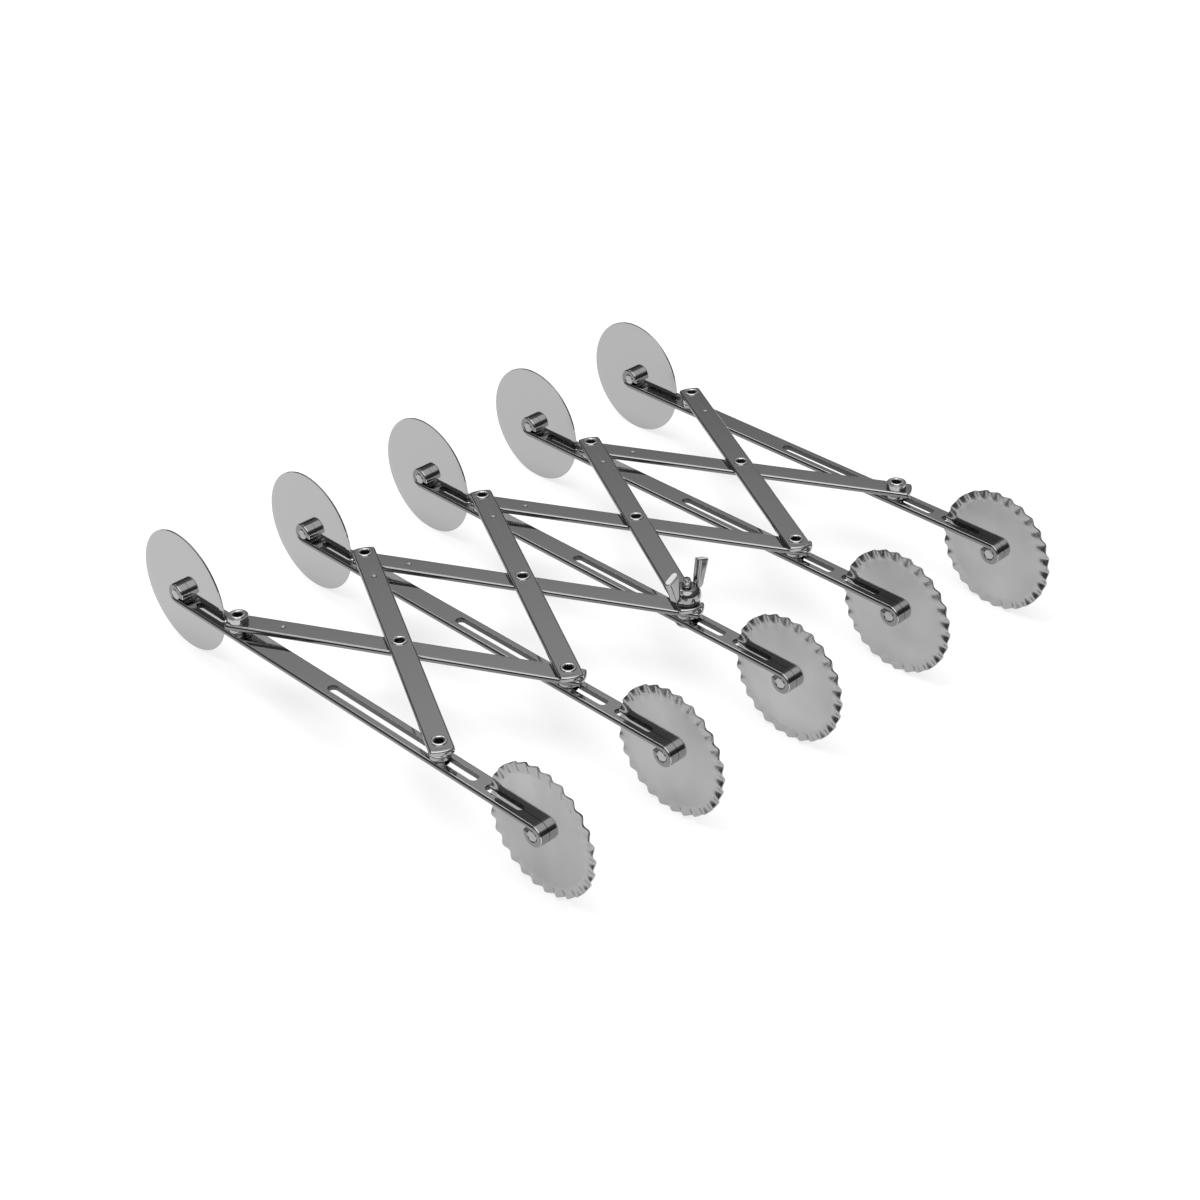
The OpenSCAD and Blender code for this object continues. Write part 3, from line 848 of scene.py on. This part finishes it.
class DOUGH_CUTTER_OT_axle_pins(bpy.types.Operator):
    """Turns the axle pin and copies it in pairs into the rolled ends of the arms"""

    bl_idname = "dough_cutter.axle_pins"
    bl_label = "Axle Pins"

    def execute(self, context):
        wheels, strips = context.scene.cutter_wheels, context.scene.cutter_strips
        half, radius, chamfer = strips.arm_w / 2, wheels.axle_d / 2, wheels.axle_chamfer
        profile = [(0, -half)] + corner(radius - chamfer, chamfer - half, chamfer, -90)
        profile += corner(radius - chamfer, half - chamfer, chamfer, 0) + [(0, half)]
        pins = lathe("axle_pins", profile)
        shape(pins)
        bpy.ops.transform.rotate(value=math.pi / 2, orient_axis="Y", center_override=(0, 0, 0))
        bpy.ops.transform.translate(value=AXLE)
        bpy.ops.mesh.duplicate_move(TRANSFORM_OT_translate={"value": -2 * AXLE})
        close_up()
        done()
        polish(pins, made_once(context.scene, pressed_steel))
        fit(pins, {f"axle_pins_{i}": arm_place(i) for i in ARMS})
        return {"FINISHED"}


class DOUGH_CUTTER_OT_rivets(bpy.types.Operator):
    """Turns the long and the short hollow rivet, with rolled rims, and copies them to all the pivots"""

    bl_idname = "dough_cutter.rivets"
    bl_label = "Hollow Rivets"

    def execute(self, context):
        scene = context.scene
        play, _, _, top_z = layers(scene)
        half_arm = scene.cutter_strips.arm_t / 2
        long_rivet = self.hollow_rivet(scene, -half_arm - play, top_z)
        on_pivot = Matrix.Translation((0, PIVOT.y, 0))
        on_slide = Matrix.Translation((0, SLIDE.y, 0))
        places = {f"pivot_rivet_{i}": arm_place(i) @ on_pivot for i in ARMS}
        places |= {f"slide_rivet_{i}": arm_place(i) @ on_slide for i in RIVETED_SLIDES}
        fit(long_rivet, places)
        short_rivet = self.hollow_rivet(scene, LOWER_Z - play, top_z)
        on_crossing = Matrix.Translation((CROSSING.x, CROSSING.y, 0))
        fit(short_rivet, {f"centre_rivet_{i}": arm_place(i) @ on_crossing for i in CROSSINGS})
        return {"FINISHED"}

    @staticmethod
    def hollow_rivet(scene, head_z, top_z):
        """Tube with a low head at its foot and its top rolled outwards."""
        rivets = scene.cutter_rivets
        shank_r, mouth_r = rivets.pivot_d / 2, rivets.mouth_d / 2
        bore_r = shank_r - rivets.wall
        profile = [(shank_r, head_z)] + bead(rivets.head_d / 2, bore_r, head_z, -rivets.head_h)
        profile += [(bore_r, top_z - rivets.flare_h)]
        profile += bead(mouth_r, rivets.rim_d / 2, top_z, rivets.rim_h)
        profile += [(shank_r, top_z), (shank_r, head_z)]
        made = lathe("hollow_rivet", profile)

        def bore(face):
            return face.center.xy.length < mouth_r and face.center.xy.dot(face.normal.xy) < 0

        # The bore takes the dark dull steel: painted shade down the hollow rivet's bore
        polish(made, steel_for(scene, "pivot_rivet_1"), [(made_once(scene, cut_steel_and_painted_bore_shade), bore)])
        return made


class DOUGH_CUTTER_OT_spacers(bpy.types.Operator):
    """Turns the spacers under the links and the bushes of the outer arms, and copies them to their pivots"""

    bl_idname = "dough_cutter.spacers"
    bl_label = "Spacers and Bushes"

    def execute(self, context):
        scene = context.scene
        _, spacer_z, spacer_t, _ = layers(scene)
        spacers = {}
        for name, y in (("pivot", PIVOT.y), ("slide", SLIDE.y)):
            spacers |= {f"{name}_spacer_{i}": self.place(i, y, spacer_z) for i in ARMS}
        fit(self.ring(scene, spacer_t, pressed_steel), spacers)
        bushes = {
            "first_pivot_bush": self.place(FIRST_ARM, PIVOT.y, UPPER_Z),
            "last_pivot_bush": self.place(LAST_ARM, PIVOT.y, LOWER_Z),
            "first_slide_bush": self.place(FIRST_ARM, SLIDE.y, LOWER_Z),
            "last_slide_bush": self.place(LAST_ARM, SLIDE.y, UPPER_Z),
        }
        fit(self.ring(scene, scene.cutter_strips.link_t, strip_steel), bushes)
        return {"FINISHED"}

    @staticmethod
    def place(arm, y, z):
        """Place over an arm's strip."""
        return arm_place(arm) @ Matrix.Translation((0, y, z))

    @staticmethod
    def ring(scene, height, steel):
        """Flat ring round a rivet."""
        rivets = scene.cutter_rivets
        made = lathe("ring", ring_profile(pin_hole_r(rivets), rivets.spacer_d / 2, height, rivets.soft_r))
        polish(made, made_once(scene, steel))
        return made


def clamp_place(z):
    """Place on the clamped arm's sliding pin."""
    return arm_place(MIDDLE_ARM) @ Matrix.Translation((0, SLIDE.y, z))


class DOUGH_CUTTER_OT_clamp_bolt(bpy.types.Operator):
    """Turns the clamp bolt, with its thread, and its washer"""

    bl_idname = "dough_cutter.clamp_bolt"
    bl_label = "Clamp Bolt"

    # Height of the thread's ridge in thread depths, sunk foot and all, and half its width in pitches
    ridge_share = 1.2
    half_share = 0.42

    def execute(self, context):
        scene = context.scene
        clamp, rivets = scene.cutter_clamp, scene.cutter_rivets
        play, _, _, top_z = layers(scene)
        thread_z = top_z + clamp.washer_t + clamp.nut_h / 2
        end_z = top_z + clamp.bolt_rise
        bolt = self.plain_bolt(scene, -scene.cutter_strips.arm_t / 2 - play, thread_z, end_z)
        combine(bolt, self.thread(scene, thread_z, end_z - clamp.point_h), "UNION")
        polish(bolt, steel_for(scene, "clamp_bolt"))
        fit(bolt, {"clamp_bolt": clamp_place(0)})
        profile = ring_profile(pin_hole_r(rivets), clamp.washer_d / 2, clamp.washer_t, rivets.soft_r)
        washer = lathe("washer", profile)
        polish(washer, made_once(scene, cut_steel_and_painted_bore_shade))
        fit(washer, {"clamp_washer": clamp_place(top_z)})
        return {"FINISHED"}

    @staticmethod
    def plain_bolt(scene, head_z, thread_z, end_z):
        """Bolt with a low round head, a shank, the root of its thread and a rounded point."""
        clamp = scene.cutter_clamp
        shank_r, point_r = scene.cutter_rivets.pivot_d / 2, clamp.point_d / 2
        root_r, round_r = shank_r - clamp.thread_depth, clamp.point_h / 2
        profile = [(0, head_z - clamp.head_h)]
        profile += corner(clamp.head_d / 2 - clamp.head_h, head_z, clamp.head_h, -90)
        profile += [(shank_r, head_z), (shank_r, thread_z - clamp.thread_depth), (root_r, thread_z)]
        profile += [(root_r, end_z - clamp.point_h), (point_r, end_z - clamp.point_h)]
        profile += corner(point_r - round_r, end_z - round_r, round_r, 0) + [(0, end_z)]
        return lathe("bolt", profile)

    def thread(self, scene, z0, z1):
        """Ridge that winds up the bolt, sunk a little into the root of the thread."""
        clamp = scene.cutter_clamp
        crest_r = scene.cutter_rivets.pivot_d / 2
        foot_r = crest_r - self.ridge_share * clamp.thread_depth
        half = self.half_share * clamp.thread_pitch
        turns = math.floor((z1 - z0 - 2 * half) / clamp.thread_pitch)
        z = z1 - half - turns * clamp.thread_pitch
        ridge = draw("ridge", [(foot_r, z - half), (crest_r, z), (foot_r, z + half), (foot_r, z - half)])
        close_up()
        done()
        apply(ridge, "SCREW", angle=math.tau, screw_offset=clamp.thread_pitch, iterations=turns,
              steps=ROUND_STEPS, render_steps=ROUND_STEPS)
        shape(ridge)
        bpy.ops.mesh.fill_holes(sides=0)
        close_up()
        done()
        return ridge


class DOUGH_CUTTER_OT_wing_nut(bpy.types.Operator):
    """Models the wing nut: a turned body and two leaning wings, cast into one smooth form"""

    bl_idname = "dough_cutter.wing_nut"
    bl_label = "Wing Nut"

    # Grain of the cast form and passes of smoothing that round its edges and fill its corners
    cast_grain = 0.16 * MM
    cast_passes = 24
    cast_factor = 0.5

    def execute(self, context):
        scene = context.scene
        clamp, rivets = scene.cutter_clamp, scene.cutter_rivets
        play, _, _, top_z = layers(scene)
        nut = self.body(clamp)
        for turn in (0, math.pi):
            combine(nut, self.wing(clamp, turn), "UNION")
        apply(nut, "REMESH", mode="VOXEL", voxel_size=self.cast_grain)
        apply(nut, "SMOOTH", factor=self.cast_factor, iterations=self.cast_passes)
        combine(nut, round_tool(0, 2 * pin_hole_r(rivets), 2 * clamp.wing_h))
        polish(nut, steel_for(scene, "wing_nut"), angle=SHARP_ANGLE)
        turned = Matrix.Rotation(clamp.wing_turn, 4, "Z")
        fit(nut, {"wing_nut": clamp_place(top_z + clamp.washer_t + play) @ turned})
        return {"FINISHED"}

    @staticmethod
    def body(clamp):
        """Body that flares to its belly and draws in over a round shoulder."""
        base_r, belly_r, belly_z = clamp.nut_base_d / 2, clamp.nut_d / 2, clamp.nut_belly_h
        top_r, rise = belly_r - clamp.nut_shoulder_r, clamp.nut_h - belly_z
        turns = [math.pi / 2 * k / BEAD_STEPS for k in range(BEAD_STEPS + 1)]
        foot = [(base_r + (belly_r - base_r) * math.sin(t), belly_z * (1 - math.cos(t))) for t in turns]
        dome = [(top_r + (belly_r - top_r) * math.cos(t), belly_z + rise * math.sin(t)) for t in turns[1:]]
        return lathe("wing_nut", [(0, 0)] + foot + dome + [(0, clamp.nut_h)])

    @staticmethod
    def wing(clamp, turn):
        """Plate that leans out of the body's side, with its rising edges and its foot rounded."""
        foot_z = clamp.wing_root_h - clamp.wing_root_w / 2
        inner_foot_x = (clamp.nut_d - clamp.wing_root_w) / 2
        outer_foot_x = clamp.nut_d / 2 + clamp.wing_root_w
        tip_run = clamp.wing_tip_w * math.cos(clamp.wing_lean)
        tip_fall = clamp.wing_tip_w * math.sin(clamp.wing_lean)
        middle = Vector(((inner_foot_x + outer_foot_x) / 2, 0, (foot_z + clamp.wing_h) / 2))
        plate = start(bpy.ops.mesh.primitive_cube_add, "wing", size=1, location=middle,
                      scale=(outer_foot_x - inner_foot_x, clamp.wing_t, clamp.wing_h - foot_z))
        shape(plate)
        choose(plate, "VERT", lambda corner: corner.co.z > middle.z and corner.co.x > middle.x)
        bpy.ops.transform.translate(value=(clamp.wing_span / 2 - outer_foot_x, 0, -tip_fall))
        choose(plate, "VERT", lambda corner: corner.co.z > middle.z and corner.co.x < middle.x)
        bpy.ops.transform.translate(value=(clamp.wing_span / 2 - tip_run - inner_foot_x, 0, 0))
        choose(plate, "EDGE", lambda edge: all(c.co.z < middle.z and c.co.x > middle.x for c in edge.verts))
        bpy.ops.mesh.bevel(offset=clamp.wing_root_w / 2, segments=2 * CORNER_STEPS, affect="EDGES")
        choose(plate, "EDGE", lambda edge: abs(edge.verts[0].co.y - edge.verts[1].co.y) < MERGE
               and any(c.co.z > middle.z for c in edge.verts) and any(c.co.z < middle.z for c in edge.verts))
        bpy.ops.mesh.bevel(offset=clamp.wing_edge_r, segments=2 * CORNER_STEPS, affect="EDGES")
        close_up()
        done()
        plate.matrix_world = Matrix.Rotation(turn, 4, "Z")
        take(plate)
        settle()
        return plate


class DOUGH_CUTTER_OT_stage(bpy.types.Operator):
    """Sets the pale floor, the light tent, the lamp and the camera"""

    bl_idname = "dough_cutter.stage"
    bl_label = "Stage"

    # Share of the floor that is white for the eye and in the steel, which leaves room for the shadow
    white_share = 0.68
    # Elevations of the tent's cloth, in degrees, and its brightness there
    bands = ((0, 0.05), (14, 0.07), (26, 0.14), (50, 0.16), (90, 0.2))
    # Two large windows, on the cutter's far side and on its left, a small bright one between them, and one
    # overhead. Each has its bearing and elevation, the angles from its middle at which it has faded and at
    # which it is full, all in degrees, and its brightness
    windows = (
        (40, 62, 44, 16, 0.66),
        (138, 62, 44, 16, 0.3),
        (78, 53, 10, 7, 2.2),
        (-138, 66, 38, 27, 1.6),
    )
    # Radius of the tent in metres
    tent_r = 6.0

    def execute(self, context):
        scene = context.scene
        scene.view_settings.view_transform = "Standard"
        self.world(scene)
        self.floor(scene)
        self.tent()
        self.lamp()
        self.camera(scene)
        return {"FINISHED"}

    @staticmethod
    def world(scene):
        """White surroundings, which only the eye sees past the tent."""
        scene.world = bpy.data.worlds.new("studio")
        scene.world.use_nodes = True
        background = scene.world.node_tree.nodes["Background"]
        background.inputs["Color"].default_value = (1, 1, 1, 1)
        background.inputs["Strength"].default_value = 1

    def floor(self, scene):
        """Pale floor that keeps the cutter's soft shadow and is close to white for the eye."""
        floor = start(bpy.ops.mesh.primitive_plane_add, "floor", size=4 * self.tent_r,
                      location=(0, 0, CAD_BOX[0].z))
        paper = bpy.data.materials.new("pale_paper")
        paper.use_nodes = True
        paper.cycles.emission_sampling = "NONE"
        tree = paper.node_tree
        tree.nodes.clear()
        paths = add_node(tree, "ShaderNodeLightPath").outputs
        seen = paths["Is Camera Ray"]
        for path in ("Is Glossy Ray", "Is Transmission Ray"):
            seen = add_node(tree, "ShaderNodeMath", {0: seen, 1: paths[path]}, use_clamp=True).outputs[0]
        white_share = add_node(tree, "ShaderNodeMath", {0: seen, 1: self.white_share}, operation="MULTIPLY")
        lit = add_node(tree, "ShaderNodeBsdfDiffuse", {"Color": (*scene.cutter_finish.floor, 1)})
        white = add_node(tree, "ShaderNodeEmission", {"Color": (1, 1, 1, 1), "Strength": 1})
        mixed = add_node(tree, "ShaderNodeMixShader", {
            "Fac": white_share.outputs[0], 1: lit.outputs[0], 2: white.outputs[0],
        })
        add_node(tree, "ShaderNodeOutputMaterial", {"Surface": mixed.outputs[0]})
        floor.data.materials.append(paper)

    def tent(self):
        """Tent that the eye sees past: dark at the horizon, dark grey above, and bright in its windows."""
        tent = start(bpy.ops.mesh.primitive_uv_sphere_add, "light_tent", segments=BALL_STEPS,
                     ring_count=BALL_STEPS // 2, radius=self.tent_r)
        tent.visible_camera = False
        tent.visible_transmission = False
        cloth = bpy.data.materials.new("tent_cloth")
        cloth.use_nodes = True
        cloth.cycles.emission_sampling = "NONE"
        tree = cloth.node_tree
        tree.nodes.clear()
        place = add_node(tree, "ShaderNodeTexCoord").outputs["Object"]
        height = add_node(tree, "ShaderNodeSeparateXYZ", {"Vector": place}).outputs["Z"]
        share = add_node(tree, "ShaderNodeMath", {0: height, 1: self.tent_r}, operation="DIVIDE").outputs[0]
        greys = [(math.sin(math.radians(elevation)), (grey,) * 3) for elevation, grey in self.bands]
        glow = add_node(tree, "ShaderNodeValToRGB", {"Fac": share}, greys).outputs["Color"]
        for *angles, brightness in self.windows:
            bearing, elevation, faded, full = (math.radians(degrees) for degrees in angles)
            level = Vector((math.cos(bearing), math.sin(bearing), 0))
            aim = level * math.cos(elevation) + Vector((0, 0, math.sin(elevation)))
            nearness = add_node(tree, "ShaderNodeVectorMath", {0: place, 1: aim / self.tent_r},
                                operation="DOT_PRODUCT")
            window = add_node(tree, "ShaderNodeMapRange", {
                "Value": nearness.outputs["Value"],
                "From Min": math.cos(faded),
                "From Max": math.cos(full),
                "To Min": 0,
                "To Max": brightness,
            })
            brighter = {0: glow, 1: window.outputs["Result"]}
            glow = add_node(tree, "ShaderNodeMath", brighter, operation="MAXIMUM").outputs[0]
        light = add_node(tree, "ShaderNodeEmission", {"Strength": glow})
        add_node(tree, "ShaderNodeOutputMaterial", {"Surface": light.outputs[0]})
        tent.data.materials.append(cloth)

    @staticmethod
    def lamp():
        """Wide soft box overhead, seen by the floor and not by the steel."""
        place = Vector((-0.3, 0.5, 2.2))
        bpy.ops.object.light_add(type="AREA", location=place)
        lamp = bpy.context.object
        lamp.name = "overhead_soft_box"
        lamp.data.shape = "DISK"
        lamp.data.size = 2.0
        lamp.data.energy = 58
        lamp.visible_glossy = False
        lamp.rotation_euler = (-place).to_track_quat("-Z", "Y").to_euler()

    @staticmethod
    def camera(scene):
        """Camera at the photograph's place: its lens, its aim and the small shift of its frame."""
        bpy.ops.object.camera_add(location=CAMERA_PLACE)
        camera = bpy.context.object
        camera.rotation_euler = CAMERA_AIM.to_track_quat("-Z", "Y").to_euler()
        camera.data.sensor_width = 36
        camera.data.lens = 68.2
        camera.data.shift_x = 0.0031
        camera.data.shift_y = -0.0013
        scene.camera = camera


class DOUGH_CUTTER_PT_panel(bpy.types.Panel):
    """Lists the cutter's pieces and its stage"""

    bl_idname = "DOUGH_CUTTER_PT_panel"
    bl_label = "Dough Cutter"
    bl_space_type = "VIEW_3D"
    bl_region_type = "UI"
    bl_category = "Dough Cutter"

    def draw(self, context):
        for operator in OPERATORS:
            self.layout.operator(operator.bl_idname)


GROUPS = {
    "cutter_strips": CutterStrips,
    "cutter_wheels": CutterWheels,
    "cutter_rivets": CutterRivets,
    "cutter_clamp": CutterClamp,
    "cutter_finish": CutterFinish,
}
OPERATORS = (
    DOUGH_CUTTER_OT_arms,
    DOUGH_CUTTER_OT_links,
    DOUGH_CUTTER_OT_plain_wheels,
    DOUGH_CUTTER_OT_fluted_wheels,
    DOUGH_CUTTER_OT_axle_pins,
    DOUGH_CUTTER_OT_rivets,
    DOUGH_CUTTER_OT_spacers,
    DOUGH_CUTTER_OT_clamp_bolt,
    DOUGH_CUTTER_OT_wing_nut,
    DOUGH_CUTTER_OT_stage,
)


def register():
    """Registers the sizes, the operators and the panel."""
    for name, group in GROUPS.items():
        bpy.utils.register_class(group)
        setattr(bpy.types.Scene, name, PointerProperty(type=group))
    for made in (*OPERATORS, DOUGH_CUTTER_PT_panel):
        bpy.utils.register_class(made)


def unregister():
    """Takes the panel, the operators and the sizes away again."""
    for made in (DOUGH_CUTTER_PT_panel, *reversed(OPERATORS)):
        bpy.utils.unregister_class(made)
    for name, group in GROUPS.items():
        delattr(bpy.types.Scene, name)
        bpy.utils.unregister_class(group)


def main():
    register()
    bpy.ops.dough_cutter.arms()
    bpy.ops.dough_cutter.links()
    bpy.ops.dough_cutter.plain_wheels()
    bpy.ops.dough_cutter.fluted_wheels()
    bpy.ops.dough_cutter.axle_pins()
    bpy.ops.dough_cutter.rivets()
    bpy.ops.dough_cutter.spacers()
    bpy.ops.dough_cutter.clamp_bolt()
    bpy.ops.dough_cutter.wing_nut()
    bpy.ops.dough_cutter.stage()


if __name__ == "__main__":
    main()
